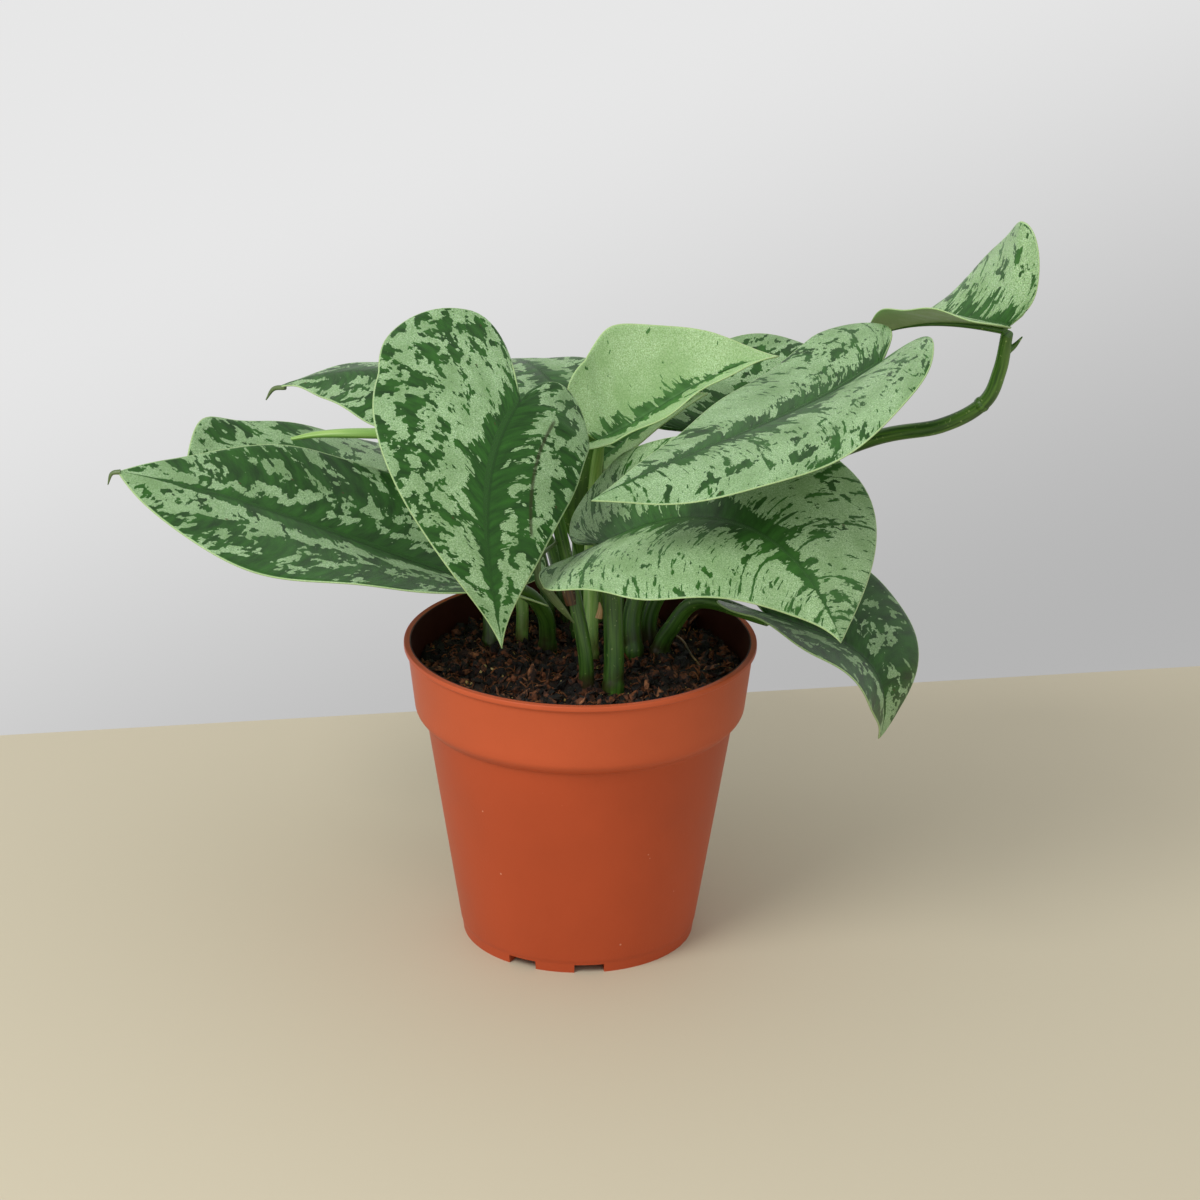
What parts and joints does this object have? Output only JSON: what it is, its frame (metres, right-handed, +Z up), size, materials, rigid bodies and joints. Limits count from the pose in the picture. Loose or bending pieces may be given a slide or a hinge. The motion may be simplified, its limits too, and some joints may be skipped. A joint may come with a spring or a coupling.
{
  "type": "potted satin pothos",
  "caption": "Young satin pothos with silver-marked heart-shaped leaves on bent stalks and a trailing vine, in a plastic nursery pot of soil.",
  "frame": {"origin": "centre of the pot's base, on the surface it stands on", "axes": "+Z up along the pot's axis, -Y towards the viewer of the picture, +X to the viewer's right, where the vine reaches out"},
  "size_m": [0.2655, 0.1989, 0.2235],
  "materials": {
    "pot_plastic": "moulded terracotta-coloured plastic, satin, with fine pale flecks",
    "potting_soil": "damp dark potting mix with bark, fibres and pale grains",
    "leaf_green": "satin silver-green with dark green blotches along the midrib and veins",
    "young_leaf_green": "satin light yellow-green with few dark marks"
  },
  "bodies": {
    "root": {"pot": "pot_plastic", "soil": "potting_soil", "leaf_front": "leaf_green", "leaf_left": "leaf_green", "leaf_left_behind": "leaf_green", "leaf_left_upper": "leaf_green", "leaf_right": "leaf_green", "leaf_right_lower": "leaf_green", "leaf_right_drooping": "leaf_green", "leaf_right_behind": "leaf_green", "leaf_back": "leaf_green", "leaf_back_right": "leaf_green", "leaf_back_left": "leaf_green", "leaf_centre": "young_leaf_green", "leaf_young": "young_leaf_green", "leaf_on_vine": "young_leaf_green", "leaf_rolled": "young_leaf_green"}
  },
  "joints": []
}
